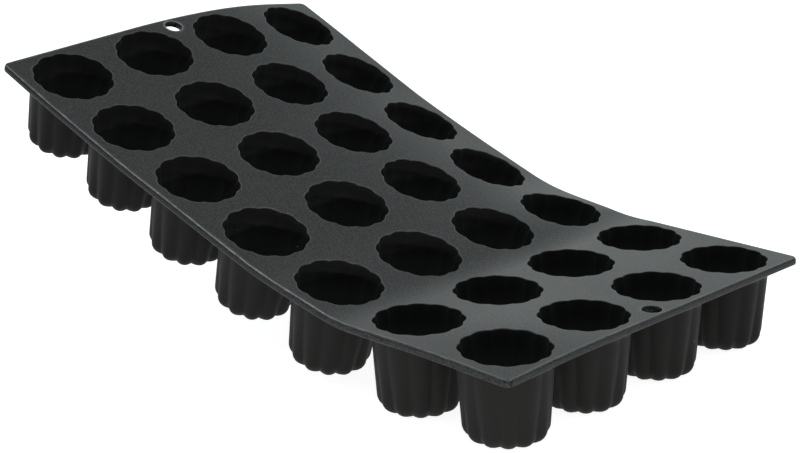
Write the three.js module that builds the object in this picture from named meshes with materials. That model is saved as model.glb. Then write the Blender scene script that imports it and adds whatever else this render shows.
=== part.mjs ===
// A flexible silicone baking mould: one thin sheet that carries seven rows of four fluted cups.
// The last two rows stand flat, and the other five are bent up at the flex lines between rows.
// Millimetres, +Z up, +X along the sheet from its lifted end to its flat end.

import * as THREE from 'three';

// Grid of cups
const ROWS = 7;
const COLUMNS = 4;
const MOUTH_DIAMETER = 34.6; // mean of lobes and grooves, on the top of the sheet
const ROW_LAND = 8.4; // sheet left between the mouths of two rows
const COLUMN_LAND = 9.9; // sheet left between the mouths of two columns

// Sheet
const SHEET_THICKNESS = 3;
const END_MARGIN = 3.7; // from a mouth to the short edge
const SIDE_MARGIN = 5.2; // from a mouth to the long edge
const HANG_HOLE_DIAMETER = 7.4;
const HANG_HOLE_INSET = 6.2; // from the short edge to the middle of the hole
const HANG_HOLE_SIDES = 16;

// Cups
const OVERALL_HEIGHT = 35; // top of the sheet to the foot of a cup
const WALL = 1; // side wall of a cup
const BASE = 1.4; // floor of a cup
const MOUTH_FLARE = 0.5; // how far the mouth opens over the wall line, each side
const DRAFT = 4; // degrees that a cup narrows by, each side
const FOOT_ROUND = 5.5; // round from the wall to the foot
const FLOOR_ROUND = 4.5; // round from the wall to the floor inside
const FLUTES = 12;
const FLUTE_TOP = 0.95; // groove depth at the mouth
const FLUTE_FOOT = 1.5; // groove depth at the foot

// How the sheet lies, in degrees: bends at the flex lines, counted from the lifted end
const ROW_BENDS = [0.5, 2.5, 0.8, 1.7, 17.1, 0];
// Fall towards +Y of each column on the lifted rows
const COLUMN_FALLS = [-2, -2.6, 1.7, 9.4];
const FALL_FADE = 34; // half the length over which the fall dies out, centred on the fifth row
const FADE_ROW = 4;
const TWIST = -1.3; // extra fall at the lifted end, which grows from the flat rows
const TWIST_FADE = 65;
const TWIST_ROW = 1;

// Clearances between the regions of the moulding
const SEAM = 0.4; // between the sheets of two rows
const JOIN = 0.3; // between a cup and the sheet over it

// Facets
const CUP_SEGMENTS = 2 * FLUTES;
const GRAIN = 1e-4; // points of the flat sheet nearer than this are one

const MOUTH_RADIUS = MOUTH_DIAMETER / 2;
const ROW_PITCH = MOUTH_DIAMETER + ROW_LAND;
const COLUMN_PITCH = MOUTH_DIAMETER + COLUMN_LAND;
const HALF_LENGTH = ((ROWS - 1) * ROW_PITCH + MOUTH_DIAMETER) / 2 + END_MARGIN;
const HALF_WIDTH = ((COLUMNS - 1) * COLUMN_PITCH + MOUTH_DIAMETER) / 2 + SIDE_MARGIN;

const radians = THREE.MathUtils.degToRad;
const rowCentre = (row) => (row - (ROWS - 1) / 2) * ROW_PITCH;
const columnCentre = (column) => (column - (COLUMNS - 1) / 2) * COLUMN_PITCH;
const rowTilt = (row) => radians(ROW_BENDS.slice(row).reduce((sum, bend) => sum + bend, 0));

// A smooth fall from 1 to 0 about a point of the sheet's length
function fadeOut(u, middle, halfLength) {
  const t = THREE.MathUtils.clamp((u - middle) / halfLength, -1, 1);
  return 0.5 - 0.5 * Math.sin((t * Math.PI) / 2);
}

// Width and drop of the sheet at a point, summed from the middle line over the columns' falls
function across(u, v) {
  const fade = fadeOut(u, rowCentre(FADE_ROW), FALL_FADE);
  const twist = radians(TWIST) * fadeOut(u, rowCentre(TWIST_ROW), TWIST_FADE);
  const sum = { width: 0, drop: 0 };
  const side = v < 0 ? -1 : 1;
  const middle = COLUMNS / 2;
  for (let k = 0; k < middle; k += 1) {
    const column = side < 0 ? middle - 1 - k : middle + k;
    const reach = k === middle - 1 ? Infinity : COLUMN_PITCH;
    const length = side * THREE.MathUtils.clamp(Math.abs(v) - k * COLUMN_PITCH, 0, reach);
    const fall = fade * radians(COLUMN_FALLS[column]) + twist;
    sum.width += length * Math.cos(fall);
    sum.drop += length * Math.sin(fall);
  }
  return sum;
}

// Middle line of the sheet's top at the flex line on the flat side of a row
function flexPoint(row) {
  const point = new THREE.Vector3(rowCentre(ROWS - 1) - ROW_PITCH / 2, 0, 0);
  for (let k = ROWS - 2; k > row; k -= 1) {
    const tilt = rowTilt(k);
    point.x -= ROW_PITCH * Math.cos(tilt);
    point.z += ROW_PITCH * Math.sin(tilt);
  }
  return point;
}

// A point on the top of one row of the bent sheet, from its place on the flat sheet
function sheetPoint(row, u, v) {
  const last = row === ROWS - 1;
  const start = flexPoint(Math.min(row, ROWS - 2));
  const along = u - rowCentre(row) + (last ? ROW_PITCH / 2 : -ROW_PITCH / 2);
  const tilt = rowTilt(row);
  const { width, drop } = across(u, v);
  return new THREE.Vector3(
    start.x + along * Math.cos(tilt) - drop * Math.sin(tilt),
    width,
    start.z - along * Math.sin(tilt) - drop * Math.cos(tilt),
  );
}

// Axes of the sheet at a point: along its length, across it, and out of its top
function sheetAxes(row, u, v) {
  const step = 0.5;
  const difference = (du, dv) =>
    sheetPoint(row, u + du, v + dv).sub(sheetPoint(row, u - du, v - dv)).normalize();
  const along = difference(step, 0);
  const up = along.clone().cross(difference(0, step)).normalize();
  return { along, side: up.clone().cross(along), up };
}

// Distance from a cup's middle to its wall, moved out on the lobes and in at the grooves
function fluted(radius, depth, angle) {
  const groove = THREE.MathUtils.lerp(FLUTE_TOP, FLUTE_FOOT, depth / OVERALL_HEIGHT);
  const reach = Math.min(1, radius / wallRadius(OVERALL_HEIGHT));
  return radius + groove * reach * (Math.abs(Math.sin((FLUTES * angle) / 2)) - 0.5);
}

// Mean inner radius of a cup's wall at a depth under the top of the sheet
function wallRadius(depth) {
  return MOUTH_RADIUS - MOUTH_FLARE - depth * Math.tan(radians(DRAFT));
}

// Corners of a row's part of the flat sheet over one column, with its bounds named
function cellBounds(row, column) {
  const halfRow = (ROW_PITCH - SEAM) / 2;
  const line = (k) => (k - COLUMNS / 2) * COLUMN_PITCH;
  return {
    left: row === 0 ? -HALF_LENGTH : rowCentre(row) - halfRow,
    right: row === ROWS - 1 ? HALF_LENGTH : rowCentre(row) + halfRow,
    near: column === 0 ? -HALF_WIDTH : line(column),
    far: column === COLUMNS - 1 ? HALF_WIDTH : line(column + 1),
  };
}

// Points of half the hang hole on one side of the middle line, from its end at +X to that at -X
function hangHoleHalf(u, side) {
  const radius = HANG_HOLE_DIAMETER / 2;
  const points = [new THREE.Vector2(u + radius, 0)];
  for (let k = 1; k < HANG_HOLE_SIDES / 2; k += 1) {
    const angle = (2 * Math.PI * k) / HANG_HOLE_SIDES;
    points.push(new THREE.Vector2(u + radius * Math.cos(angle), side * radius * Math.sin(angle)));
  }
  points.push(new THREE.Vector2(u - radius, 0));
  return points;
}

// Outline of the flat sheet over one cup, notched where the hang hole lies on its edge
function cellOutline(row, column) {
  const { left, right, near, far } = cellBounds(row, column);
  const corner = (u, v) => new THREE.Vector2(u, v);
  const endRow = row === 0 || row === ROWS - 1;
  const hole = row === 0 ? left + HANG_HOLE_INSET : right - HANG_HOLE_INSET;
  const nearNotch = endRow && column === COLUMNS / 2 ? hangHoleHalf(hole, 1).reverse() : [];
  const farNotch = endRow && column === COLUMNS / 2 - 1 ? hangHoleHalf(hole, -1) : [];
  return [
    corner(left, near), ...nearNotch, corner(right, near),
    corner(right, far), ...farNotch, corner(left, far),
  ];
}

// Outline of a cup's mouth on the flat sheet
function mouthOutline(row, column) {
  const points = [];
  for (let k = 0; k < CUP_SEGMENTS; k += 1) {
    const angle = (2 * Math.PI * k) / CUP_SEGMENTS;
    const spoke = new THREE.Vector2(Math.cos(angle), Math.sin(angle));
    spoke.multiplyScalar(fluted(MOUTH_RADIUS, 0, angle));
    points.push(spoke.add(new THREE.Vector2(rowCentre(row), columnCentre(column))));
  }
  return points;
}

// A point of the flat sheet carried to the bent one; under a mouth it is drawn in to the cup's wall
function sheetPlace(row, column, flat, depth) {
  const centre = new THREE.Vector2(rowCentre(row), columnCentre(column));
  const onMouth = flat.distanceTo(centre) < MOUTH_RADIUS + FLUTE_TOP;
  const share = onMouth && depth > 0 ? wallRadius(depth) / MOUTH_RADIUS : 1;
  const { x: u, y: v } = share < 1 ? flat.clone().sub(centre).multiplyScalar(share).add(centre) : flat;
  return sheetPoint(row, u, v).addScaledVector(sheetAxes(row, u, v).up, -depth);
}

// The sheet of one row: each cell's top and underside, and a wall wherever no other face meets it
function rowSheet(row) {
  const points = [];
  const walls = new Map();
  const key = ({ x, y }) => `${Math.round(x / GRAIN)} ${Math.round(y / GRAIN)}`;
  for (let column = 0; column < COLUMNS; column += 1) {
    const outline = cellOutline(row, column);
    const mouth = mouthOutline(row, column);
    const flat = [...outline, ...mouth];
    const top = flat.map((point) => sheetPlace(row, column, point, 0));
    const under = flat.map((point) => sheetPlace(row, column, point, SHEET_THICKNESS));
    for (const [a, b, c] of THREE.ShapeUtils.triangulateShape(outline, [mouth])) {
      points.push(top[a], top[b], top[c], under[a], under[c], under[b]);
      for (const [from, to] of [[a, b], [b, c], [c, a]]) {
        const shared = `${key(flat[to])} ${key(flat[from])}`;
        const wall = [top[to], top[from], under[from], top[to], under[from], under[to]];
        if (!walls.delete(shared)) walls.set(`${key(flat[from])} ${key(flat[to])}`, wall);
      }
    }
  }
  points.push(...[...walls.values()].flat());
  const geometry = new THREE.BufferGeometry().setFromPoints(points);
  geometry.computeVertexNormals();
  return geometry;
}

// Moves every point of a geometry through a function
function bend(geometry, place) {
  const position = geometry.getAttribute('position');
  const point = new THREE.Vector3();
  for (let k = 0; k < position.count; k += 1) {
    point.fromBufferAttribute(position, k);
    const placed = place(point);
    position.setXYZ(k, placed.x, placed.y, placed.z);
  }
  geometry.computeVertexNormals();
  return geometry;
}

// Half section of a cup, from the middle of its foot over the wall to the middle of its floor
function cupSection() {
  const top = SHEET_THICKNESS + JOIN;
  const footWall = OVERALL_HEIGHT - FOOT_ROUND;
  const floor = OVERALL_HEIGHT - BASE;
  const floorWall = floor - FLOOR_ROUND;
  const section = [new THREE.Vector2(0, -OVERALL_HEIGHT)];
  for (const turn of [0, 45, 90]) {
    const middle = wallRadius(footWall) + WALL - FOOT_ROUND;
    const radius = middle + FOOT_ROUND * Math.sin(radians(turn));
    section.push(new THREE.Vector2(radius, -footWall - FOOT_ROUND * Math.cos(radians(turn))));
  }
  section.push(new THREE.Vector2(wallRadius(top) + WALL, -top));
  section.push(new THREE.Vector2(wallRadius(top), -top));
  section.push(new THREE.Vector2(wallRadius(floorWall), -floorWall));
  section.push(new THREE.Vector2(wallRadius(floorWall) - FLOOR_ROUND, -floor));
  section.push(new THREE.Vector2(0, -floor));
  return section;
}

// One cup: fluted under its mouth, upright in the sheet's axes there, with its rim along the sheet
function cup(row, column) {
  const u = rowCentre(row);
  const v = columnCentre(column);
  const centre = sheetPoint(row, u, v);
  const { along, side, up } = sheetAxes(row, u, v);
  const geometry = new THREE.LatheGeometry(cupSection(), CUP_SEGMENTS);
  geometry.rotateX(Math.PI / 2);
  return bend(geometry, ({ x, y, z }) => {
    const angle = Math.atan2(y, x);
    const radius = fluted(Math.hypot(x, y), -z, angle);
    const du = radius * Math.cos(angle);
    const dv = radius * Math.sin(angle);
    const level = centre.clone().addScaledVector(along, du).addScaledVector(side, dv);
    const rim = sheetPoint(row, u + du, v + dv);
    return rim.lerp(level, -z / OVERALL_HEIGHT).addScaledVector(up, z);
  });
}

const silicone = new THREE.MeshStandardMaterial({ color: 0x3c3f41, roughness: 0.55, metalness: 0 });

function region(name, geometry) {
  const mesh = new THREE.Mesh(geometry, silicone.clone());
  mesh.name = name;
  return mesh;
}

const mould = new THREE.Group();
for (let row = 0; row < ROWS; row += 1) {
  const rowGroup = new THREE.Group();
  rowGroup.add(region(`row_${row + 1}_sheet`, rowSheet(row)));
  for (let column = 0; column < COLUMNS; column += 1) {
    rowGroup.add(region(`cup_${row + 1}_${column + 1}`, cup(row, column)));
  }
  mould.add(rowGroup);
}

// The origin is under the middle of the mould, on the surface that it stands on
const extent = new THREE.Box3().setFromObject(mould, true);
const middle = extent.getCenter(new THREE.Vector3());
mould.position.set(-middle.x, -middle.y, -extent.min.z);

export default mould;
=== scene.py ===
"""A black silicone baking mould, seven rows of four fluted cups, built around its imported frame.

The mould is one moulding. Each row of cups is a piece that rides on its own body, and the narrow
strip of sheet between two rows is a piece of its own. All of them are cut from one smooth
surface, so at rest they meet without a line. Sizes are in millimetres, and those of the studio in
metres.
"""

import logging
from dataclasses import dataclass, field
from enum import Enum
from typing import Any

import bpy
import numpy as np
from mathutils import Matrix, Vector


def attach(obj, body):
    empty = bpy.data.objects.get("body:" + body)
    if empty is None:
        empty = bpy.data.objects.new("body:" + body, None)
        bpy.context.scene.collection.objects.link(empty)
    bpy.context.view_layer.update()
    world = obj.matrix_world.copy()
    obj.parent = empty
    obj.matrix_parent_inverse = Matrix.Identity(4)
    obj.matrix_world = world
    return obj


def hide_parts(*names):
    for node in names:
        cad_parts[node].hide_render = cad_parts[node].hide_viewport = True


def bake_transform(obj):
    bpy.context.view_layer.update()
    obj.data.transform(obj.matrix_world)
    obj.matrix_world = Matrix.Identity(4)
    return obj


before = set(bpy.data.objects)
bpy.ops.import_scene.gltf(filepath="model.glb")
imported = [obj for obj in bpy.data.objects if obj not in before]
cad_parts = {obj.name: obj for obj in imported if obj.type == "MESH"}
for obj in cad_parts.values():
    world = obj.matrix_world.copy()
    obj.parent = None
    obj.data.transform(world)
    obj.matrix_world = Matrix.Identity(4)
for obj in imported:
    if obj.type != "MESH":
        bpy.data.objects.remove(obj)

Array = np.ndarray
Pair = tuple[float, float]
Triple = tuple[float, float, float]
NodeTree = bpy.types.NodeTree

LOG = logging.getLogger("baking_mould")
METRE = 0.001  # metres in a millimetre
WELD = 1e-4  # points of the flat mould nearer than this are one
SHARP_ANGLE = 50.0  # faces that meet at more than this many degrees keep a hard edge
# attribute with the share of wear and painted highlight near the arrises
WEAR_AND_HIGHLIGHT_ATTRIBUTE = "rim"
SKIN_ATTRIBUTE = "skin"
SHEET_SKIN = np.zeros(3)  # no painted shade, no painted light and no matt


class Edge(Enum):
    """What a stretch of a cell's outline meets."""

    FREE = "the open air"
    SEAM = "a flex strip"
    SHARED = "the next cell of the row"


def linear(code: str) -> tuple[float, float, float, float]:
    """A colour for a shader, in linear light, from an sRGB code such as #1e1f20."""
    parts = np.array([int(code[k : k + 2], 16) for k in (1, 3, 5)]) / 255
    light = np.where(parts <= 0.04045, parts / 12.92, ((parts + 0.055) / 1.055) ** 2.4)
    return (*(float(part) for part in light), 1.0)


def smoothstep(x: Array) -> Array:
    """An S-shaped rise from 0 to 1 while x goes from 0 to 1: 3x squared less 2x cubed."""
    x = np.clip(x, 0, 1)
    return x * x * (3 - 2 * x)


def spline(at: Array, places: Array, points: Array, slopes: Array) -> Array:
    """Curve through knots: between two of them, the cubic with their points and their slopes.

    Args:
        at: Places to give the curve at.
        places: Places of the knots, in rising order.
        points: For each of at, the knots' points as rows.
        slopes: For each of at, the knots' slopes as rows.

    Returns:
        Points of the curve, as rows.
    """
    k = np.clip(np.searchsorted(places, at) - 1, 0, len(places) - 2)
    before = (np.arange(len(at)), k)
    after = (np.arange(len(at)), k + 1)
    span = (places[k + 1] - places[k])[:, None]
    t = (at - places[k])[:, None] / span
    back = 1 - t
    return (
        points[before] * (1 + 2 * t) * back**2
        + slopes[before] * span * t * back**2
        + points[after] * (1 + 2 * back) * t**2
        - slopes[after] * span * back * t**2
    )


def arc_points(middle: Pair, radius: float | Pair, turns: Pair, steps: int) -> Array:
    """Arc of a circle or an ellipse: the middle plus the radius times cosine and sine.

    Args:
        middle: Middle of the circle.
        radius: Its radius, or the two radii of an ellipse.
        turns: First and last angle, in radians.
        steps: How many steps the arc is made of.

    Returns:
        Points of the arc, as rows of two places.
    """
    angles = np.linspace(*turns, steps + 1)
    spokes = np.column_stack([np.cos(angles), np.sin(angles)])
    return np.array(middle) + np.array(radius) * spokes


@dataclass(frozen=True)
class Grid:
    """Layout of the cups on the flat sheet: row 0 at the lifted end, column 0 at the near side."""

    rows: int = 7
    columns: int = 4
    row_pitch: float = 43.0
    column_pitch: float = 44.5
    half_length: float = 150.0
    half_width: float = 89.25

    def row_centres(self) -> Array:
        """Place of each row along the flat sheet."""
        return (np.arange(self.rows) - (self.rows - 1) / 2) * self.row_pitch

    def column_centres(self) -> Array:
        """Place of each column across the flat sheet."""
        return (np.arange(self.columns) - (self.columns - 1) / 2) * self.column_pitch


@dataclass(frozen=True)
class RestingForm:
    """How the sheet lies with one end lifted: a smooth surface through the middle of each cup."""

    grid: Grid
    row_bends: tuple[float, ...] = (0.5, 2.5, 0.8, 1.7, 17.1, 0.0)  # degrees from row to row
    column_falls: tuple[float, ...] = (-2.0, -2.6, 1.7, 9.4)  # degrees, at the lifted end
    fall_fade: float = 34.0  # half the length over which the falls die out
    fade_row: int = 4  # row that the falls are half gone at
    twist: float = -1.3  # degrees, at the lifted end
    twist_fade: float = 65.0  # half the length over which the twist dies out
    twist_row: int = 1  # row that the twist is half gone at
    crown: float = 0.7  # rise of the middle of the lifted end over its corners
    crown_fade: float = 45.0  # length over which the crown dies out
    corner_tilt: float = 2.4  # tilt of the sheet, in degrees, where its near flat corner hangs
    corner_fade: float = 30.0  # how far from the corner's cup the corner's form dies out
    corner_lean: Triple = (0.3, 0.3, 0.0)  # shift of the corner cup's foot
    origin: Triple = (-2.3709, 0.0, 35.0)
    fold_half: float = 9.0  # half the length over which the sheet bends between two rows
    run_out: float = 60.0  # how far the sheet's straight ends are drawn past the outer cups
    step: float = 0.25  # half the span that a slope is measured over

    def tilts(self) -> Array:
        """Tilt of each row in radians: the sum of the bends from it to the flat end."""
        bends = np.radians([*self.row_bends, 0.0])
        return np.cumsum(bends[::-1])[::-1]

    def knots(self) -> tuple[Array, Array, Array]:
        """Points that the sheet's middle line goes through: both ends of each row's straight part.

        Each row is a pitch long and lies at its tilt. Rows are laid end to end from the flat end,
        and the outer ones run straight on past the ends of the sheet.

        Returns:
            Places along the flat sheet, points as rows of x and z, and slopes as rows of x and z.
        """
        tilts = self.tilts()
        slopes = np.column_stack([np.cos(tilts), -np.sin(tilts)])
        halves = slopes * self.grid.row_pitch / 2
        steps = halves[:-1] + halves[1:]
        centres = self.grid.row_centres()
        behind = np.vstack([np.cumsum(steps[::-1], axis=0)[::-1], [[0.0, 0.0]]])
        middles = np.array([[centres[-1], 0.0]]) - behind
        reach = np.full((self.grid.rows, 2), self.grid.row_pitch / 2 - self.fold_half) * [-1, 1]
        reach[0, 0] = -self.run_out
        reach[-1, 1] = self.run_out
        places = (centres[:, None] + reach).reshape(-1)
        points = (middles[:, None] + reach[..., None] * slopes[:, None]).reshape(-1, 2)
        return places, points, np.repeat(slopes, 2, axis=0)

    def middle_line(self, u: Array) -> Array:
        """Middle line of the sheet's top: straight rows, and a cubic between each two of them.

        Args:
            u: Places along the flat sheet.

        Returns:
            Rows of x and z.
        """
        places, points, slopes = self.knots()
        sets = (len(u), *points.shape)
        return spline(u, places, np.broadcast_to(points, sets), np.broadcast_to(slopes, sets))

    def fade(self, u: Array, row: int, half_length: float) -> Array:
        """A fall from 1 to 0 about a row, along a quarter wave of a sine to either side."""
        t = np.clip((u - self.grid.row_centres()[row]) / half_length, -1, 1)
        return 0.5 - 0.5 * np.sin(t * np.pi / 2)

    def across(self, u: Array, v: Array) -> Array:
        """Width and drop of the sheet from its middle line.

        Each column is a pitch wide and lies at its own fall, summed outwards from the middle line.
        A cubic joins the columns' middles with the columns' own slopes, and the outer columns run
        straight on.

        Args:
            u: Places along the flat sheet.
            v: Places across the flat sheet.

        Returns:
            Rows of width and drop.
        """
        bend = self.fade(u, self.fade_row, self.fall_fade)
        turn = self.fade(u, self.twist_row, self.twist_fade) * np.radians(self.twist)
        falls = bend[:, None] * np.radians(self.column_falls) + turn[:, None]
        slopes = np.stack([np.cos(falls), np.sin(falls)], axis=-1)
        far_sides = np.cumsum(slopes, axis=1)
        half = self.grid.columns // 2
        from_middle = far_sides - slopes / 2 - far_sides[:, half - 1 : half]
        columns = np.clip(np.arange(-1, self.grid.columns + 1), 0, self.grid.columns - 1)
        past = np.zeros(len(columns))
        past[0] = -self.run_out
        past[-1] = self.run_out
        slopes = slopes[:, columns]
        points = from_middle[:, columns] * self.grid.column_pitch + slopes * past[:, None]
        return spline(v, self.grid.column_centres()[columns] + past, points, slopes)

    def top(self, u: Array, v: Array) -> Array:
        """Top of the sheet: its middle line, plus the width across, less the drop along its normal.

        The lifted end is crowned: a parabola across the sheet, which dies out along it in an S.

        Args:
            u: Places along the flat sheet.
            v: Places across the flat sheet.

        Returns:
            Rows of x, y and z.
        """
        line = self.middle_line(u)
        slope = self.middle_line(u + self.step) - self.middle_line(u - self.step)
        slope /= np.linalg.norm(slope, axis=1, keepdims=True)
        width, drop = self.across(u, v).T
        share = smoothstep(1 - (u + self.grid.half_length) / self.crown_fade)
        drop -= self.crown * share * (1 - (v / self.grid.half_width) ** 2)
        points = np.column_stack(
            [line[:, 0] + drop * slope[:, 1], width, line[:, 1] - drop * slope[:, 0]]
        )
        return points + np.array(self.origin)

    def axes(self, u: Array, v: Array) -> tuple[Array, Array, Array]:
        """Axes of the sheet by central differences: along it, across it, and out of its top.

        Args:
            u: Places along the flat sheet.
            v: Places across the flat sheet.

        Returns:
            Unit vectors along, across and up, as rows.
        """
        along = self.top(u + self.step, v) - self.top(u - self.step, v)
        along /= np.linalg.norm(along, axis=1, keepdims=True)
        up = np.cross(along, self.top(u, v + self.step) - self.top(u, v - self.step))
        up /= np.linalg.norm(up, axis=1, keepdims=True)
        return along, np.cross(up, along), up

    def from_corner_cup(self, u: Array, v: Array) -> tuple[Array, Array]:
        """Places from the corner cup's middle: out to the near flat corner, and beside that."""
        along = u - self.grid.row_centres()[-1]
        outwards = self.grid.column_centres()[0] - v
        return (along + outwards) / np.sqrt(2), (along - outwards) / np.sqrt(2)

    def corner_fall(self, u: Array, v: Array) -> Array:
        """Fall of the near flat corner: a tilt that dies out as a bell inwards and to the sides.

        Args:
            u: Places along the flat sheet.
            v: Places across the flat sheet.

        Returns:
            Falls, which are below 0 on the inner side of the corner's cup.
        """
        out, beside = self.from_corner_cup(u, v)
        off = np.hypot(np.minimum(out, 0), beside) / self.corner_fade
        return np.tan(np.radians(self.corner_tilt)) * out * np.exp(-(off**2))

    def foot_shift(self, u: Array, v: Array) -> Array:
        """Shift of a cup's foot: the corner cup's lean, times a bell of the distance from that."""
        off = np.hypot(*self.from_corner_cup(u, v)) / self.corner_fade
        return np.exp(-(off**2))[:, None] * self.corner_lean

    def sheet(self, flat: Array) -> Array:
        """Points of the sheet: its top, less the depth along its normal and the corner's fall.

        Args:
            flat: Rows of place along, place across and depth under the top.

        Returns:
            Rows of x, y and z.
        """
        u, v, depth = flat.T
        points = self.top(u, v) - depth[:, None] * self.axes(u, v)[2]
        points[:, 2] -= self.corner_fall(u, v)
        return points


@dataclass(frozen=True)
class SheetForm:
    """The flat sheet: its thickness, its edges, its hang holes and the strips that flex."""

    thickness: float = 3.0
    edge_round: float = 0.7
    edge_drop: float = 1.5  # depth that the upper round of an edge goes down to
    corner_round: float = 3.0
    strip_half: float = 2.7  # half the width of a flex strip
    hole_radius: float = 3.6
    hole_inset: float = 6.2
    edge_steps: int = 6  # steps in the round of an edge
    wear_and_highlight_reach: float = 0.3  # how far the wear and painted highlight of an arris reach
    strip_stations: tuple[float, ...] = (0.12, 0.3, 0.5, 0.7, 0.88, 0.98)  # shares of strip_half
    bend_share: float = 0.88  # share of strip_half out to which a strip's ends are taken on the sheet's top

    def edge_profile(self) -> Array:
        """Section of a free edge: a quarter of an ellipse, a straight wall and a quarter round.

        Returns:
            Rows of reach outwards and depth, from the top to the underside.
        """
        radii = (self.edge_round, self.edge_drop)
        upper = arc_points((0.0, self.edge_drop), radii, (-np.pi / 2, 0.0), self.edge_steps)
        middle = (0.0, self.thickness - self.edge_round)
        lower = arc_points(middle, self.edge_round, (0.0, np.pi / 2), self.edge_steps)
        return np.vstack([upper, lower])


@dataclass(frozen=True)
class CupForm:
    """One fluted cup: its wall narrows downwards, and its lobes stand between sharp grooves."""

    mouth_radius: float = 17.3
    mouth_flare: float = 0.5
    mouth_round: float = 0.2
    mouth_lip: float = 0.6  # depth of the ring that ends the lip of the mouth
    draft: float = 4.0  # degrees
    wall: float = 1.0
    base: float = 1.4
    height: float = 35.0
    collar_round: float = 0.7  # round between the underside of the sheet and the wall
    foot_round: float = 5.8
    floor_round: float = 4.5
    flutes: int = 12
    flute_top: float = 0.95
    flute_foot: float = 1.5
    flute_ease: float = 0.09  # share of a groove's depth that its bottom is eased by
    shell_flute_top: float = 0.5
    shell_flute_foot: float = 2.5
    shell_flute_ease: float = 0.15
    shell_crest: float = 0.6  # how far the lobes stand out of the mean wall outside
    samples: int = 192  # points round a cup, as many as the outline of its cell has
    crowding: float = 0.7  # how far the samples draw in to the grooves, from 0 to 1
    wall_steps: int = 11
    round_steps: int = 7  # steps in the rounds of the floor and of the foot
    rim_steps: int = 4  # steps in the rounds of the mouth and of the collar
    bottom_shares: tuple[float, ...] = (0.7, 0.4, 0.15)  # rings of the flat bottom

    def angles(self) -> Array:
        """Angles round a cup: even steps less a sine, one wave a flute, closest at the grooves."""
        even = np.arange(self.samples) * 2 * np.pi / self.samples
        return even - self.crowding / self.flutes * np.sin(self.flutes * even)

    def wall_radius(self, depth: Array) -> Array:
        """Mean inner radius of the wall at a depth: the mouth less its flare and the draft."""
        narrowing = depth * np.tan(np.radians(self.draft))
        return self.mouth_radius - self.mouth_flare - narrowing

    def rim(self, middle: Pair, radius: float) -> Array:
        """Round from level to upright, about its middle's reach and depth."""
        return arc_points(middle, radius, (-np.pi / 2, -np.pi), self.rim_steps)

    def bottom(self, wall: Array, radius: float) -> Array:
        """End of a cup: a quarter round in from the wall, then rings of a flat bottom.

        Args:
            wall: Rows of mean radius and depth of the wall, down to its end.
            radius: Radius of the round.

        Returns:
            Rows of mean radius and depth, from the wall's end to near the middle.
        """
        reach, depth = wall[-1] - [radius, 0.0]
        turned = arc_points((reach, depth), radius, (0.0, np.pi / 2), self.round_steps)[1:]
        level = [(reach * share, depth + radius) for share in self.bottom_shares]
        return np.vstack([turned, level])

    def mouth_profile(self, thickness: float) -> Array:
        """Inside of a cup: mouth round, flared mouth, straight wall, floor round and floor.

        Args:
            thickness: Thickness of the sheet, over which the mouth flares.

        Returns:
            Rows of mean radius and depth, from the top of the sheet to near the floor's middle.
        """
        flare = self.mouth_flare / thickness
        flared = self.mouth_radius - flare * self.mouth_round
        mouth = self.rim((flared + self.mouth_round, self.mouth_round), self.mouth_round)
        lip = [self.mouth_radius - flare * self.mouth_lip, self.mouth_lip]
        end = self.height - self.base - self.floor_round
        depths = np.linspace(thickness, end, self.wall_steps)
        wall = np.column_stack([self.wall_radius(depths), depths])
        return np.vstack([mouth, lip, wall, self.bottom(wall, self.floor_round)])

    def shell_profile(self, thickness: float) -> Array:
        """Outside of a cup: collar round, straight wall, foot round and foot.

        Args:
            thickness: Thickness of the sheet, whose underside the wall starts from.

        Returns:
            Rows of mean radius and depth, from the sheet's underside to near the foot's middle.
        """
        start = thickness + self.collar_round
        reach = self.wall_radius(start) + self.wall + self.collar_round
        collar = self.rim((reach, start), self.collar_round)
        depths = np.linspace(start, self.height - self.foot_round, self.wall_steps)[1:]
        wall = np.column_stack([self.wall_radius(depths) + self.wall, depths])
        return np.vstack([collar, wall, self.bottom(wall, self.foot_round)])

    def fluted(self, profile: Array, outside: bool) -> Array:
        """A profile carried round a cup, out on the lobes and in at the grooves.

        The radius changes by the groove's depth times the size of a sine of half the flutes' number
        times the angle: about the mean wall inside, and in from the crests of the lobes outside.
        The grooves deepen with the depth inside and with its square outside, and die out near the
        middle of the foot.

        Args:
            profile: Rows of mean radius and depth.
            outside: Whether it is the outside of the cup.

        Returns:
            Rings by samples by three: place along, place across and depth, from the cup's middle.
        """
        angles = self.angles()
        radius, depth = profile[:, :1], profile[:, 1:]
        share = depth / self.height
        if outside:
            deeper = self.shell_flute_foot - self.shell_flute_top
            groove = self.shell_flute_top + deeper * share**2
            ease = self.shell_flute_ease
            crest = self.shell_crest
        else:
            groove = self.flute_top + (self.flute_foot - self.flute_top) * share
            ease = self.flute_ease
            crest = groove / 2
        reach = np.minimum(1, radius / self.wall_radius(self.height))
        lobes = np.hypot(np.sin(self.flutes * angles / 2), ease)
        ring = radius + reach * (crest + groove * (lobes - 1))
        depths = np.broadcast_to(depth, ring.shape)
        return np.stack([ring * np.cos(angles), ring * np.sin(angles), depths], axis=-1)


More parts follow.
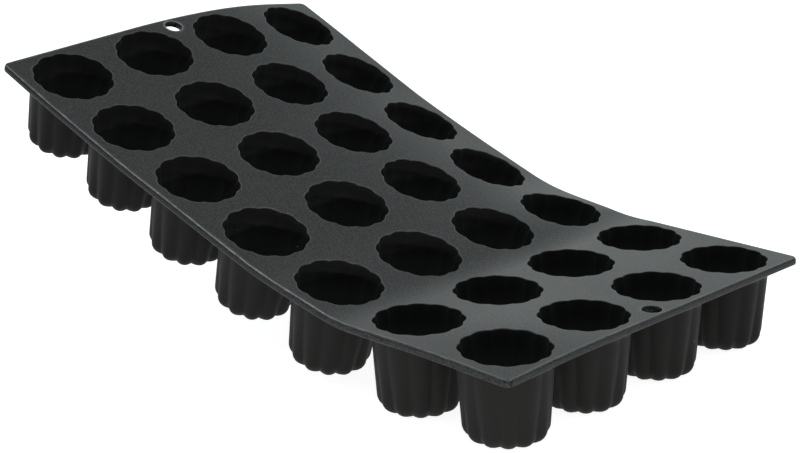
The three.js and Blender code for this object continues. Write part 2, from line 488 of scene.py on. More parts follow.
@dataclass(frozen=True)
class EdgeRun:
    """A stretch of a cell's outline: points from the cup's middle, and normals out of the sheet."""

    points: Array
    normals: Array
    edge: Edge

    @staticmethod
    def straight(
        start: Pair, end: Pair, steps: int, normal: tuple[int, int], edge: Edge
    ) -> "EdgeRun":
        """A straight stretch in even steps.

        Args:
            start: First point.
            end: Last point.
            steps: How many steps it is made of.
            normal: Direction out of the cell.
            edge: What the stretch meets.

        Returns:
            The stretch.
        """
        points = np.linspace(start, end, steps + 1)
        return EdgeRun(points, np.broadcast_to(np.array(normal, float), points.shape), edge)

    @staticmethod
    def arc(middle: Pair, radius: float, turns: Pair, steps: int, outward: int) -> "EdgeRun":
        """A stretch of a circle.

        Args:
            middle: Middle of the circle.
            radius: Radius of the circle.
            turns: First and last angle, in radians from the +u side.
            steps: How many steps it is made of.
            outward: 1 where the sheet is inside the circle, and -1 where it is outside.

        Returns:
            The stretch, which meets the open air.
        """
        spokes = arc_points((0.0, 0.0), 1.0, turns, steps)
        return EdgeRun(np.array(middle) + radius * spokes, outward * spokes, Edge.FREE)

    def mirrored(self, sign_u: int, sign_v: int) -> "EdgeRun":
        """The same stretch in another quarter of the cell, still counter-clockwise."""
        signs = np.array([sign_u, sign_v])
        order = sign_u * sign_v
        return EdgeRun((self.points * signs)[::order], (self.normals * signs)[::order], self.edge)


@dataclass
class Facets:
    """Points of the mould with their places on the flat mould, and the faces between them."""

    flat: list[Array] = field(default_factory=list)
    placed: list[Array] = field(default_factory=list)
    skin: list[Array] = field(default_factory=list)
    quads: list[Array] = field(default_factory=list)
    fans: list[list[int]] = field(default_factory=list)
    count: int = 0

    def add_points(self, flat: Array, placed: Array, skin: Array = SHEET_SKIN) -> Array:
        """Adds points and gives their numbers in the shape of the grid that they came in.

        Args:
            flat: Places of the points on the flat mould.
            placed: Places of the points on the resting mould.
            skin: Shares of painted shade, of painted light and of matt at each point.

        Returns:
            The points' numbers.
        """
        numbers = self.count + np.arange(flat[..., 0].size).reshape(flat.shape[:-1])
        self.flat.append(flat.reshape(-1, 3))
        self.placed.append(placed.reshape(-1, 3))
        self.skin.append(np.broadcast_to(skin, flat.shape).reshape(-1, 3))
        self.count += numbers.size
        return numbers

    def add_grid(self, numbers: Array, flip: bool = False, closed: bool = False) -> None:
        """Adds a face between each two rows and each two columns of a grid of point numbers.

        Args:
            numbers: Grid of point numbers.
            flip: Turns the faces round.
            closed: Joins the last column to the first.
        """
        beside = np.roll(numbers, -1, axis=1) if closed else numbers[:, 1:]
        here = numbers if closed else numbers[:, :-1]
        corners = [here[:-1], beside[:-1], beside[1:], here[1:]]
        quads = np.stack(corners[::-1] if flip else corners, axis=-1)
        self.quads.append(quads.reshape(-1, 4))

    def add_pole(self, ring: Array, pole: int, flip: bool = False) -> None:
        """Closes a ring of points to one point; the fourth corner of each face repeats the pole."""
        beside = np.roll(ring, -1)
        ends = [beside, ring] if flip else [ring, beside]
        tip = np.full_like(ring, pole)
        self.quads.append(np.stack([*ends, tip, tip], axis=-1))

    def mesh(self, name: str) -> tuple[bpy.types.Mesh, Array]:
        """A mesh of the points, with those at one place on the flat mould made one.

        Args:
            name: Name of the mesh.

        Returns:
            The mesh, with its skin, and the places of its points on the flat mould.
        """
        flat = np.concatenate(self.flat)
        placed = np.concatenate(self.placed)
        keys = np.round(flat / WELD).astype(np.int64)
        _, first, welded = np.unique(keys, axis=0, return_index=True, return_inverse=True)
        welded = welded.reshape(-1)
        quads = welded[np.concatenate(self.quads)]
        pointed = quads[:, 2] == quads[:, 3]
        faces = quads[~pointed].tolist() + quads[pointed, :3].tolist()
        faces += [welded[fan].tolist() for fan in self.fans]
        mesh = bpy.data.meshes.new(name)
        mesh.from_pydata((placed[first] * METRE).tolist(), [], faces)
        mesh.shade_smooth()
        mesh.set_sharp_from_angle(angle=np.radians(SHARP_ANGLE))
        shares = np.concatenate(self.skin)[first].astype(np.float32)
        skin = mesh.attributes.new(SKIN_ATTRIBUTE, "FLOAT_VECTOR", "POINT")
        skin.data.foreach_set("vector", shares.reshape(-1))
        return mesh, flat[first]


@dataclass(frozen=True)
class Mould:
    """The whole moulding: builds the rows of cups and the strips that flex between them."""

    grid: Grid
    form: RestingForm
    sheet: SheetForm
    cup: CupForm
    settle: float = 14.0  # depth over which a cup's wall turns from the bent sheet to its own axis
    mouth_skin: float = 0.5  # depth over which the mouth goes over to the inside of the cup
    painted_light_depths: Pair = (3.0, 24.0)  # depths between which the painted shade gives way to painted light
    matt_depth: float = 3.0  # depth under the sheet over which the outside goes over to matt
    land_shares: tuple[float, ...] = (0.0, 0.035, 0.08, 0.3, 0.6, 0.86, 0.96)  # outline to mouth
    side_steps: int = 26  # steps in half a cell's side along the seam
    end_steps: int = 22  # steps in half a cell's side along the row
    corner_steps: int = 8
    hole_steps: int = 12
    lip_half: float = 5.5  # half the width of the lip of sheet between a hang hole and the end
    lip_turn: float = np.pi / 3  # how far round the hole the lip goes from its outermost point
    lip_steps: int = 8
    lip_shares: tuple[float, ...] = (0.0, 0.15, 0.5, 0.85, 1.0)
    mouth_wear_and_highlight: float = 0.3  # wear and painted highlight of a mouth's rim, as a share of those of the sheet's edge
    flat_rows: int = 2  # rows at the flat end
    flat_wear_and_highlight: float = 0.45  # wear and painted highlight of the flat rows, as a share of those of the lifted ones, on which the painted highlight is stronger

    def body(self, row: int) -> str:
        """Name of the body that carries a row."""
        return f"row_{row + 1}"

    def seam_lines(self) -> Array:
        """Places along the flat sheet of the flex lines between rows."""
        centres = self.grid.row_centres()
        return (centres[:-1] + centres[1:]) / 2

    def quarter(self, reach: Pair, end: Edge, side: Edge) -> list[EdgeRun]:
        """Outline of a quarter of a cell, from the middle of its end to the middle of its side.

        Args:
            reach: Distances from the cup's middle to the end and to the side.
            end: What the end meets.
            side: What the side meets.

        Returns:
            The stretches of the outline, counter-clockwise.
        """
        a, b = reach
        rounded = end is Edge.FREE and side is Edge.FREE
        radius = self.sheet.corner_round - self.sheet.edge_round if rounded else 0.0
        spent = self.corner_steps // 2 if rounded else 0
        runs = [EdgeRun.straight((a, 0), (a, b - radius), self.side_steps - spent, (1, 0), end)]
        if rounded:
            middle = (a - radius, b - radius)
            runs.append(EdgeRun.arc(middle, radius, (0, np.pi / 2), self.corner_steps, 1))
        runs.append(EdgeRun.straight((a - radius, b), (0, b), self.end_steps - spent, (0, 1), side))
        return runs

    def hole_circle(self, reach: Pair) -> tuple[Pair, float]:
        """Middle and radius of a hang hole's upper edge, from the middle of a cup beside it."""
        middle = reach[0] + self.sheet.edge_round - self.sheet.hole_inset
        return (middle, reach[1]), self.sheet.hole_radius + self.sheet.edge_round

    def hole_lip(self, reach: Pair) -> tuple[EdgeRun, EdgeRun]:
        """Lip of sheet between a hang hole and the end, in a quarter of a cell.

        Args:
            reach: Distances from the cup's middle to the end and to the side.

        Returns:
            The lip's stretch of the end, and its stretch of the hole, in the outline's direction.
        """
        a, b = reach
        middle, radius = self.hole_circle(reach)
        end = EdgeRun.straight((a, b - self.lip_half), (a, b), self.lip_steps, (1, 0), Edge.FREE)
        return end, EdgeRun.arc(middle, radius, (0, -self.lip_turn), self.lip_steps, -1)

    def hole_quarter(self, reach: Pair, side: Edge) -> list[EdgeRun]:
        """Outline of a quarter of a cell beside a hang hole, without the lip between hole and end.

        Args:
            reach: Distances from the cup's middle to the end and to the side.
            side: What the side meets.

        Returns:
            The stretches of the outline, counter-clockwise.
        """
        a, b = reach
        middle, radius = self.hole_circle(reach)
        end, lip = self.hole_lip(reach)
        shares = np.array(self.lip_shares)[:, None]
        cut = end.points[0] + shares * (lip.points[-1] - end.points[0])
        steps = self.side_steps - len(shares) + 1
        left = self.end_steps - self.hole_steps
        return [
            EdgeRun.straight((a, 0), (a, b - self.lip_half), steps, (1, 0), Edge.FREE),
            EdgeRun(cut, np.zeros_like(cut), Edge.SHARED),
            EdgeRun.arc(middle, radius, (-self.lip_turn, -np.pi), self.hole_steps, -1),
            EdgeRun.straight((middle[0] - radius, b), (0, b), left, (0, 1), side),
        ]

    def outline(self, row: int, column: int) -> tuple[list[EdgeRun], list[tuple[EdgeRun, EdgeRun]]]:
        """Outline of a cell, counter-clockwise from its +u side, in stretches.

        Args:
            row: Row of the cell.
            column: Column of the cell.

        Returns:
            The stretches, and the lips that lie outside them, beside a hang hole.
        """
        centre_u = self.grid.row_centres()[row]
        centre_v = self.grid.column_centres()[column]
        inset = self.sheet.edge_round
        runs: list[EdgeRun] = []
        lips: list[tuple[EdgeRun, EdgeRun]] = []
        for sign_u, sign_v in ((1, 1), (-1, 1), (-1, -1), (1, -1)):
            at_end = row == (self.grid.rows - 1 if sign_u > 0 else 0)
            at_side = column == (self.grid.columns - 1 if sign_v > 0 else 0)
            reach_u = self.grid.row_pitch / 2 - self.sheet.strip_half
            reach_v = self.grid.column_pitch / 2
            if at_end:
                reach_u = self.grid.half_length - abs(centre_u) - inset
            if at_side:
                reach_v = self.grid.half_width - abs(centre_v) - inset
            end = Edge.FREE if at_end else Edge.SEAM
            side = Edge.FREE if at_side else Edge.SHARED
            reach = (reach_u, reach_v)
            if at_end and column + (sign_v + 1) // 2 == self.grid.columns // 2:
                quarter = self.hole_quarter(reach, side)
                first, second = self.hole_lip(reach)
                lips.append((first.mirrored(sign_u, sign_v), second.mirrored(sign_u, sign_v)))
            else:
                quarter = self.quarter(reach, end, side)
            turned = [run.mirrored(sign_u, sign_v) for run in quarter]
            runs += turned if sign_u * sign_v > 0 else turned[::-1]
        return runs, lips

    def cup_place(self, row: int, column: int, offsets: Array) -> tuple[Array, Array]:
        """Places of a cell's points, on the flat mould and on the resting one.

        Down to the underside a point keeps to the bent sheet. Deeper, it goes over by an S-shaped
        share to the upright frame of its own cup, shifted with the depth where the foot leans.

        Args:
            row: Row of the cell.
            column: Column of the cell.
            offsets: Place along, place across and depth from the cup's middle, on the last axis.

        Returns:
            Points of the flat mould, and of the resting one, in the shape of offsets.
        """
        centre = np.array([self.grid.row_centres()[row], self.grid.column_centres()[column], 0.0])
        flat = (offsets + centre).reshape(-1, 3)
        on_sheet = self.form.sheet(flat)
        u, v = centre[:1], centre[1:2]
        along, across, up = self.form.axes(u, v)
        du, dv, depth = offsets.reshape(-1, 3).T[..., None]
        level = self.form.top(u, v) + du * along + dv * across - depth * up
        level += self.form.foot_shift(u, v) * depth / self.cup.height
        share = smoothstep((depth - self.sheet.thickness) / self.settle)
        placed = on_sheet + share * (level - on_sheet)
        return flat.reshape(offsets.shape), placed.reshape(offsets.shape)

    def skin(self, depth: Array, under: bool) -> Array:
        """Skin of a cup: painted shade below the mouth, an S-shaped change to painted light deeper
        down, and matt all through.

        Args:
            depth: Depths of the points.
            under: Whether they are on the underside and the outside of the cup.

        Returns:
            Shares of painted shade, painted light and matt on the last axis.
        """
        none = np.zeros_like(depth)
        if under:
            matt = np.clip((depth - self.sheet.thickness) / self.matt_depth, 0, 1)
            return np.stack([none, none, matt], axis=-1)
        start, end = self.painted_light_depths
        painted_light = smoothstep((depth - start) / (end - start))
        matt = np.clip(depth / self.mouth_skin, 0, 1)
        return np.stack([matt * (1 - painted_light), painted_light, matt], axis=-1)

    def add_surface(
        self, facets: Facets, row: int, column: int, under: bool, ring: Array
    ) -> None:
        """One side of a cell: sheet from the outline to the cup, then the cup to its middle.

        Args:
            facets: Takes the points and faces.
            row: Row of the cell.
            column: Column of the cell.
            under: Whether it is the underside and the outside of the cup.
            ring: Outline of the cell, as rows of place along and across.
        """
        thickness = self.sheet.thickness
        depth = thickness if under else 0.0
        profile = self.cup.shell_profile(thickness) if under else self.cup.mouth_profile(thickness)
        cup = self.cup.fluted(profile, under)
        outline = np.column_stack([ring, np.full(len(ring), depth)])
        shares = np.array(self.land_shares)[:, None, None]
        land = outline + shares * (cup[0] - outline)
        offsets = np.concatenate([land, cup])
        skin = self.skin(offsets[..., 2], under)
        numbers = facets.add_points(*self.cup_place(row, column, offsets), skin)
        facets.add_grid(numbers, flip=under, closed=True)
        middle = np.array([[0.0, 0.0, profile[-1, 1]]])
        pole = facets.add_points(*self.cup_place(row, column, middle), skin[-1, 0])
        facets.add_pole(numbers[-1], int(pole[0]), flip=under)

    def add_lip(self, facets: Facets, row: int, column: int, lip: tuple[EdgeRun, EdgeRun]) -> None:
        """The lip between a hang hole and the end: straight lines from one stretch to the other.

        Args:
            facets: Takes the points and faces.
            row: Row of the cell.
            column: Column of the cell.
            lip: Stretch of the end, and stretch of the hole.
        """
        end, hole = lip[0].points, lip[1].points[::-1]
        plan = end + np.array(self.lip_shares)[:, None, None] * (hole - end)
        for depth, under in ((0.0, False), (self.sheet.thickness, True)):
            depths = np.full((*plan.shape[:2], 1), depth)
            offsets = np.concatenate([plan, depths], axis=-1)
            facets.add_grid(facets.add_points(*self.cup_place(row, column, offsets)), flip=under)

    def add_wall(
        self, facets: Facets, row: int, column: int, run: EdgeRun, profile: Array
    ) -> Array:
        """A wall along a stretch of a cell's outline: the edge profile carried along it.

        Args:
            facets: Takes the points and faces.
            row: Row of the cell.
            column: Column of the cell.
            run: Stretch of the outline.
            profile: Rows of reach outwards and depth.

        Returns:
            Point numbers, one row for each step down the profile.
        """
        reach, depth = profile[:, :1, None], profile[:, 1:]
        plan = run.points + reach * run.normals
        depths = np.broadcast_to(depth, plan.shape[:2])[..., None]
        offsets = np.concatenate([plan, depths], axis=-1)
        numbers = facets.add_points(*self.cup_place(row, column, offsets))
        facets.add_grid(numbers, flip=True)
        return numbers

    def row_piece(self, row: int) -> tuple[bpy.types.Mesh, Array]:
        """A row of cups with its sheet, closed at its edges and at the seams.

        Args:
            row: Row to build.

        Returns:
            The mesh, and the places of its points on the flat mould.
        """
        facets = Facets()
        edge = self.sheet.edge_profile()
        seam = np.array([[0.0, 0.0], [0.0, self.sheet.thickness]])
        for column in range(self.grid.columns):
            runs, lips = self.outline(row, column)
            ring = np.concatenate([run.points[:-1] for run in runs])
            self.add_surface(facets, row, column, False, ring)
            self.add_surface(facets, row, column, True, ring)
            for lip in lips:
                self.add_lip(facets, row, column, lip)
                for run in lip:
                    self.add_wall(facets, row, column, run, edge)
            for run, before, after in zip(runs, runs[-1:] + runs[:-1], runs[1:] + runs[:1]):
                if run.edge is Edge.SEAM:
                    self.add_wall(facets, row, column, run, seam)
                if run.edge is Edge.FREE:
                    wall = self.add_wall(facets, row, column, run, edge)
                    if before.edge is Edge.SEAM:
                        facets.fans.append(wall[:, 0].tolist()[::-1])
                    if after.edge is Edge.SEAM:
                        facets.fans.append(wall[:, -1].tolist())
        return facets.mesh(f"{self.body(row)}_cups")

    def strip_piece(self, row: int) -> tuple[bpy.types.Mesh, Array]:
        """The strip of sheet between a row and the next: the sheet's section carried across it.

        Args:
            row: Row on the lifted side of the strip.

        Returns:
            The mesh, and the places of its points on the flat mould.
        """
        ends = [
            run.points[:, 1] + self.grid.column_centres()[column]
            for column in range(self.grid.columns)
            for run in self.outline(row, column)[0]
            if run.edge is Edge.SEAM and run.points[0, 0] > 0
        ]
        stations = np.unique(np.round(np.concatenate(ends) / WELD).astype(np.int64)) * WELD
        edge = self.sheet.edge_profile()
        thickness = self.sheet.thickness
        top = np.column_stack([stations, np.zeros(len(stations))])
        far = edge + [stations[-1], 0]
        under = np.column_stack([stations[::-1], np.full(len(stations), thickness)])
        near = edge[::-1] * [-1, 1] + [stations[0], 0]
        loop = np.vstack([top[:-1], far[:-1], under[:-1], near[:-1]])
        reach = np.array(self.sheet.strip_stations)
        shares = np.concatenate([[-1], -reach[::-1], [0], reach, [1]])
        places = self.seam_lines()[row] + self.sheet.strip_half * shares
        section = np.broadcast_to(loop, (len(places), *loop.shape))
        along = np.broadcast_to(places[:, None, None], (*section.shape[:2], 1))
        flat = np.concatenate([along, section], axis=-1)
        facets = Facets()
        numbers = facets.add_points(flat, self.form.sheet(flat.reshape(-1, 3)))
        facets.add_grid(numbers, flip=True, closed=True)
        lid = np.arange(len(stations))
        below = len(stations) + len(edge) - 2 + lid[::-1]
        for numbers_row, flip in ((numbers[0], False), (numbers[-1], True)):
            facets.add_grid(numbers_row[np.stack([lid, below])], flip=flip)
            rounds = (
                numbers_row[lid[-1] : below[-1] + 1],
                np.append(numbers_row[below[0] :], numbers_row[0]),
            )
            for fan in rounds:
                facets.fans.append(fan.tolist()[:: 1 if flip else -1])
        return facets.mesh(f"flex_strip_{row + 1}_{row + 2}")

    def wear_and_highlight_share(self, flat: Array) -> Array:
        """How near each point is to a moulded corner, from 0 to 1, for the wear and painted
        highlight on it.

        The share falls as a bell with the distance from the upper arrises of the sheet's edge, of a
        hang hole and, less strongly, of a mouth, on the flat mould. It is less on the flat rows,
        where the painted highlight is weaker.

        Args:
            flat: Places of the points on the flat mould.

        Returns:
            One share for each point.
        """
        u, v, depth = flat.T
        inside = np.minimum(self.grid.half_length - np.abs(u), self.grid.half_width - np.abs(v))
        hole_u = self.grid.half_length - self.sheet.hole_inset
        hole = np.hypot(np.abs(u) - hole_u, v) - self.sheet.hole_radius
        off_edge = np.hypot(np.minimum(inside, hole) - self.sheet.edge_round, depth)
        rows = self.grid.row_centres()
        columns = self.grid.column_centres()
        du = u - rows[np.abs(u[:, None] - rows).argmin(axis=1)]
        dv = v - columns[np.abs(v[:, None] - columns).argmin(axis=1)]
        lobes = np.hypot(np.sin(self.cup.flutes * np.arctan2(dv, du) / 2), self.cup.flute_ease)
        mouth = self.cup.mouth_radius + self.cup.flute_top * (lobes - 1 / 2)
        off_mouth = np.hypot(np.hypot(du, dv) - mouth, depth)
        bells = np.exp(-((np.stack([off_edge, off_mouth]) / self.sheet.wear_and_highlight_reach) ** 2))
        lifted = len(rows) - self.flat_rows
        row_strength = np.interp(u, rows[lifted - 1 : lifted + 1], [1.0, self.flat_wear_and_highlight])
        return row_strength * np.maximum(bells[0], self.mouth_wear_and_highlight * bells[1])


def add_object(name: str, data: bpy.types.ID) -> bpy.types.Object:
    """Puts a mesh, a lamp or a camera into the scene as an object."""
    holder = bpy.data.objects.new(name, data)
    bpy.context.scene.collection.objects.link(holder)
    return holder


def add_node(
    tree: NodeTree, kind: str, inputs: dict[Any, Any] | None = None, **settings: Any
) -> bpy.types.Node:
    """Adds a node, sets it, and fills its inputs with values or links.

    Args:
        tree: Takes the node.
        kind: Blender's name for the kind of node.
        inputs: Values or sockets by input name or number.
        **settings: Properties of the node itself.

    Returns:
        The node.
    """
    node = tree.nodes.new(kind)
    for name, value in settings.items():
        setattr(node, name, value)
    for name, value in (inputs or {}).items():
        if isinstance(value, bpy.types.NodeSocket):
            tree.links.new(value, node.inputs[name])
        else:
            node.inputs[name].default_value = value
    return node


def remap(tree: NodeTree, value: Any, ends: Pair, span: Pair = (0.0, 1.0)) -> Any:
    """Number that runs straight from one end to the other while a value goes over a span.

    Args:
        tree: Takes the node.
        value: Socket with the value.
        ends: The number at the span's start, and at its end.
        span: Where the value starts, and where it ends.

    Returns:
        Socket with the number.
    """
    inputs = {"Value": value, "From Min": span[0], "From Max": span[1]}
    inputs |= {"To Min": ends[0], "To Max": ends[1]}
    return add_node(tree, "ShaderNodeMapRange", inputs).outputs["Result"]


def combine(tree: NodeTree, operation: str, first: Any, second: Any) -> Any:
    """Socket with two numbers put together by an operation, such as ADD."""
    return add_node(tree, "ShaderNodeMath", {0: first, 1: second}, operation=operation).outputs[0]


@dataclass(frozen=True)
class BlackSilicone:
    """Platinum-cured silicone rubber, pigmented black and moulded in a finely blasted tool.

    The eye gets a deep charcoal body, a satin sheen that spreads wide and grows towards grazing
    light, a very fine matt, paler arrises and mouth rims that are partly wear and partly a painted
    highlight, painted shade just inside the cups, painted light deeper in them, and a few specks of
    lint.
    """

    name: str = "black_silicone_rubber"
    body: str = "#10100f"
    cloud: str = "#141413"
    painted_shade: str = "#101010"  # painted shade inside the cups, just below the mouth
    painted_light: str = "#3c3c3c"  # painted light deeper in the cups
    # pale arrises and mouth rims, partly wear and partly a painted highlight
    wear_and_highlight: str = "#9a9c9e"
    lint: str = "#a9aaa8"
    ior: float = 1.41
    specular: float = 0.17  # the blasted matt traps much of the mirror light
    roughness: Pair = (0.26, 0.34)
    matt: Pair = (0.6, 0.95)  # roughness of the cups, outside and inside
    grain: tuple[str, str] = ("#000000", "#2b2c2c")  # darkest and lightest of the sheet's speckle
    grain_span: Pair = (0.36, 0.64)  # part of the noise that makes the speckle
    grain_noise: Pair = (0.65, 1.0)  # each noise: size in mm, and octaves
    blast_noise: Pair = (0.8, 2.0)  # coarser than the tool's grit, so that it shows
    blast_height_mm: float = 0.06
    cloud_noise: Pair = (24.0, 3.0)
    wear_and_highlight_noise: Pair = (3.0, 4.0)
    lint_cell_mm: float = 9.0
    lint_lot: float = 0.93  # a cell whose lot, from 0 to 1, is above this holds a speck
    lint_mm: float = 0.32
    lint_core: float = 0.5  # share of a speck's radius that is full lint

    def build(self) -> bpy.types.Material:
        """Material with its blasted bump, clouded roughness, wear and painted highlight on the
        arrises, painted shade and painted light in the cups, and lint.
        """
        material = bpy.data.materials.new(self.name)
        material.use_nodes = True
        tree = material.node_tree
        shader = tree.nodes["Principled BSDF"]
        shader.inputs["IOR"].default_value = self.ior
        shader.inputs["Specular IOR Level"].default_value = self.specular
        place = add_node(tree, "ShaderNodeTexCoord").outputs["Object"]
        cloud = self.noise(tree, place, self.cloud_noise)
        skin = add_node(tree, "ShaderNodeAttribute", attribute_name=SKIN_ATTRIBUTE)
        shares = add_node(tree, "ShaderNodeSeparateXYZ", {0: skin.outputs["Vector"]})
        painted_shade, painted_light, matt = shares.outputs
        satin = remap(tree, cloud, self.roughness)
        dull = remap(tree, combine(tree, "ADD", painted_shade, painted_light), self.matt)
        rough = add_node(tree, "ShaderNodeMix", {0: matt, 2: satin, 3: dull}, data_type="FLOAT")
        tree.links.new(rough.outputs[0], shader.inputs["Roughness"])
        grit = self.noise(tree, place, self.grain_noise)
        grain = self.mix(tree, remap(tree, grit, (0.0, 1.0), self.grain_span), *self.grain)
        body = self.mix(tree, matt, grain, self.mix(tree, cloud, self.body, self.cloud))
        # share of wear and painted highlight near the arrises, broken up by noise
        rim = add_node(tree, "ShaderNodeAttribute", attribute_name=WEAR_AND_HIGHLIGHT_ATTRIBUTE)
        patchiness = self.noise(tree, place, self.wear_and_highlight_noise)
        wear_and_highlight_mark = combine(tree, "MULTIPLY", rim.outputs["Fac"], patchiness)
        lint = self.specks(tree, place)
        # over the body: wear with a painted highlight on the arrises, painted shade and painted
        # light in the cups, and lint
        tones = (self.wear_and_highlight, self.painted_shade, self.painted_light, self.lint)
        for share, tone in zip((wear_and_highlight_mark, painted_shade, painted_light, lint), tones):
            body = self.mix(tree, share, body, tone)
        tree.links.new(body, shader.inputs["Base Color"])
        blast = self.noise(tree, place, self.blast_noise)
        relief = {"Height": blast, "Distance": self.blast_height_mm * METRE, "Strength": 1.0}
        bump = add_node(tree, "ShaderNodeBump", relief)
        tree.links.new(bump.outputs["Normal"], shader.inputs["Normal"])
        return material

    def noise(self, tree: NodeTree, place: Any, pattern: Pair) -> Any:
        """Noise from 0 to 1, with the real size of its patches and its octaves."""
        inputs = {"Vector": place, "Scale": 1 / (pattern[0] * METRE), "Detail": pattern[1]}
        return add_node(tree, "ShaderNodeTexNoise", inputs).outputs["Fac"]

    def mix(self, tree: NodeTree, share: Any, first: Any, second: Any) -> Any:
        """Colour between two, each a socket or an sRGB code, by a share from 0 to 1.

        Args:
            tree: Takes the node.
            share: Socket with the share.
            first: Colour at 0.
            second: Colour at 1.

        Returns:
            Socket with the colour.
        """
        ends = [linear(end) if isinstance(end, str) else end for end in (first, second)]
        inputs = {0: share, 6: ends[0], 7: ends[1]}
        return add_node(tree, "ShaderNodeMix", inputs, data_type="RGBA").outputs[2]

    def specks(self, tree: NodeTree, place: Any) -> Any:
        """Lint: a small disc about the middle of a few of the cells of a cell pattern.

        Args:
            tree: Takes the nodes.
            place: Socket with Object coordinates.

        Returns:
            Socket with a share, 1 on a speck.
        """
        inputs = {"Vector": place, "Scale": 1 / (self.lint_cell_mm * METRE)}
        cells = add_node(tree, "ShaderNodeTexVoronoi", inputs).outputs
        lot = add_node(tree, "ShaderNodeSeparateColor", {"Color": cells["Color"]}).outputs["Red"]
        chosen = combine(tree, "GREATER_THAN", lot, self.lint_lot)
        limit = self.lint_mm / self.lint_cell_mm
        near = remap(tree, cells["Distance"], (1.0, 0.0), (self.lint_core * limit, limit))
        return combine(tree, "MULTIPLY", near, chosen)


@dataclass(frozen=True)
class SoftLamp:
    """A soft round lamp, aimed at a point. Its sizes are in metres."""

    name: str
    place: Triple
    aim: Triple
    size: float
    power: float  # watts
    spread: float = 180.0  # full angle of its beam, in degrees
    mirrored: bool = True  # whether its own image shows in shiny surfaces

    def build(self) -> None:
        """Adds the lamp, turned to its aim."""
        lamp = bpy.data.lights.new(self.name, "AREA")
        lamp.shape = "DISK"
        lamp.size = self.size
        lamp.energy = self.power
        lamp.spread = np.radians(self.spread)
        light = add_object(self.name, lamp)
        light.location = self.place
        light.visible_glossy = self.mirrored
        aim = Vector(self.aim) - Vector(self.place)
        light.rotation_euler = aim.to_track_quat("-Z", "Y").to_euler()


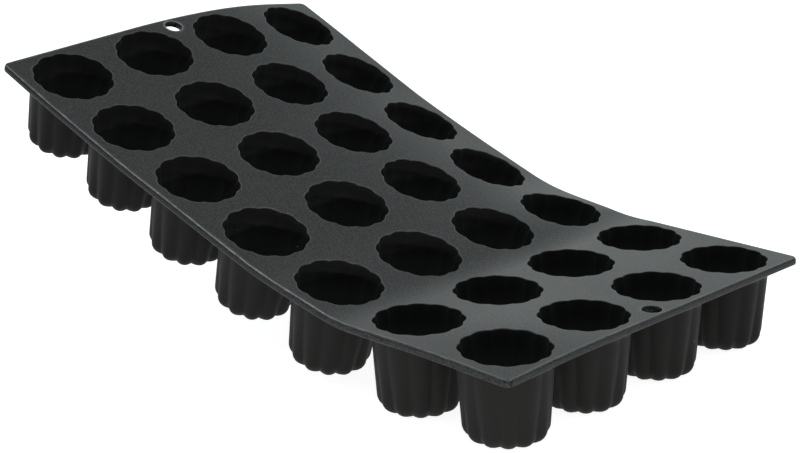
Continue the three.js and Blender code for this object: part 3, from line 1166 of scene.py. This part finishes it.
@dataclass(frozen=True)
class Studio:
    """White table, pale room, soft lamps and the camera. Places and sizes are in metres."""

    table: str = "#aeaeae"
    table_lift: float = 0.9  # light that the table shows to the eye
    table_half: float = 6.0
    table_roughness: float = 0.9
    room: str = "#f6fffe"
    room_levels: Pair = (1.0, 0.3)  # light of the room, and of its dim front side
    room_front: Triple = (0.7, -0.7, 0.0)
    room_span: Pair = (0.1, 0.9)  # how far to the front it starts and ends to dim
    lamps: tuple[SoftLamp, ...] = (
        SoftLamp("overhead_lamp", (-0.4, 0.4, 2.0), (0.0, 0.0, 0.05), 1.6, 3.0),
        SoftLamp("left_window", (-1.84, 1.29, 0.51), (0.0, 0.0, 0.05), 1.6, 2.4),
        SoftLamp("right_window", (-1.1, 2.0, 0.4), (0.0, 0.0, 0.05), 1.0, 0.6),
        SoftLamp("front_fill", (0.45, -0.45, 0.018), (0.14, -0.08, 0.015), 0.03, 0.2, 48.0, False),
        SoftLamp("side_fill", (0.12, -0.72, 0.02), (0.07, -0.09, 0.02), 0.06, 0.09, 34.0, False),
        SoftLamp("end_fill", (0.8, -0.02, 0.02), (0.15, -0.03, 0.015), 0.06, 0.13, 48.0, False),
    )
    camera_place: Triple = (0.5859, -0.58881, 0.29998)
    camera_right: Triple = (0.71762, 0.69627, -0.0152)
    camera_up: Triple = (-0.19901, 0.22594, 0.9536)
    camera_forward: Triple = (-0.66739, 0.6813, -0.3007)
    lens: float = 92.7  # in millimetres, as the sensor is
    sensor: float = 36.0

    def build(self) -> None:
        """Adds the table, the room's light, the lamps and the camera."""
        self.build_table()
        self.build_room()
        for lamp in self.lamps:
            lamp.build()
        self.build_camera()
        bpy.context.scene.view_settings.view_transform = "Standard"

    def build_table(self) -> None:
        """A wide opal table that shows white to the eye and keeps a faint shadow."""
        half = self.table_half
        corners = [(-half, -half, 0), (half, -half, 0), (half, half, 0), (-half, half, 0)]
        mesh = bpy.data.meshes.new("table_top")
        mesh.from_pydata(corners, [], [(0, 1, 2, 3)])
        material = bpy.data.materials.new("opal_acrylic")
        material.use_nodes = True
        tree = material.node_tree
        shader = tree.nodes["Principled BSDF"]
        shader.inputs["Base Color"].default_value = linear(self.table)
        shader.inputs["Roughness"].default_value = self.table_roughness
        shader.inputs["Emission Color"].default_value = (1.0, 1.0, 1.0, 1.0)
        rays = add_node(tree, "ShaderNodeLightPath").outputs
        seen = combine(tree, "MAXIMUM", rays["Is Camera Ray"], rays["Is Glossy Ray"])
        seen = combine(tree, "MAXIMUM", seen, rays["Is Transmission Ray"])
        lift = combine(tree, "MULTIPLY", seen, self.table_lift)
        tree.links.new(lift, shader.inputs["Emission Strength"])
        mesh.materials.append(material)
        add_object("table_top", mesh)

    def build_room(self) -> None:
        """An even pale room that gives soft light from all round, and less from its front side."""
        world = bpy.data.worlds.new("pale_room")
        world.use_nodes = True
        tree = world.node_tree
        background = tree.nodes["Background"]
        background.inputs["Color"].default_value = linear(self.room)
        way = add_node(tree, "ShaderNodeTexCoord").outputs["Generated"]
        inputs = {0: way, 1: self.room_front}
        front = add_node(tree, "ShaderNodeVectorMath", inputs, operation="DOT_PRODUCT")
        level = remap(tree, front.outputs["Value"], self.room_levels, self.room_span)
        tree.links.new(level, background.inputs["Strength"])
        bpy.context.scene.world = world

    def build_camera(self) -> None:
        """The camera, at the place and angle that the mould is seen from."""
        camera = bpy.data.cameras.new("camera")
        camera.lens = self.lens
        camera.sensor_width = self.sensor
        camera.sensor_fit = "HORIZONTAL"
        holder = add_object("camera", camera)
        backward = [-part for part in self.camera_forward]
        turn = Matrix((self.camera_right, self.camera_up, backward)).transposed()
        holder.matrix_world = Matrix.Translation(self.camera_place) @ turn.to_4x4()
        bpy.context.scene.camera = holder


def dress(mesh: bpy.types.Mesh, rim: Array, finish: bpy.types.Material) -> bpy.types.Object:
    """Puts a mesh into the scene with its wear and painted highlight, and its finish.

    Args:
        mesh: Mesh of the piece.
        rim: Share of wear and painted highlight at each of its points.
        finish: Material of the piece.

    Returns:
        The object.
    """
    wear_and_highlight_mark = mesh.attributes.new(WEAR_AND_HIGHLIGHT_ATTRIBUTE, "FLOAT", "POINT")
    wear_and_highlight_mark.data.foreach_set("value", rim.astype(np.float32))
    mesh.materials.append(finish)
    piece = add_object(mesh.name, mesh)
    return piece


def build_mould(mould: Mould, finish: bpy.types.Material) -> None:
    """Builds the rows of cups and the strips between them, and ties each row to its body.

    Args:
        mould: The moulding.
        finish: Its material.
    """
    for row in range(mould.grid.rows):
        mesh, flat = mould.row_piece(row)
        piece = dress(mesh, mould.wear_and_highlight_share(flat), finish)
        body = mould.body(row)
        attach(piece, body)
        cups = [f"cup_{row + 1}_{column + 1}" for column in range(mould.grid.columns)]
        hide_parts(f"{body}_sheet", *cups)
        LOG.info("%s: %d faces, rides on %s", piece.name, len(mesh.polygons), body)
    for row, seam in enumerate(mould.seam_lines()):
        mesh, flat = mould.strip_piece(row)
        piece = dress(mesh, mould.wear_and_highlight_share(flat), finish)
        reach = mould.sheet.strip_half * mould.sheet.bend_share
        ends = mould.form.top(np.array([seam - reach, seam + reach]), np.zeros(2)) * METRE
        mould.body(row)
        mould.body(row + 1)
        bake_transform(piece)
        LOG.info("%s: %d faces, bends between two rows", piece.name, len(mesh.polygons))


def main() -> None:
    """Builds the mould and its studio."""
    logging.basicConfig(level=logging.INFO)
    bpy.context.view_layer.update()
    grid = Grid()
    mould = Mould(grid, RestingForm(grid), SheetForm(), CupForm())
    build_mould(mould, BlackSilicone().build())
    Studio().build()


if __name__ == "__main__":
    main()
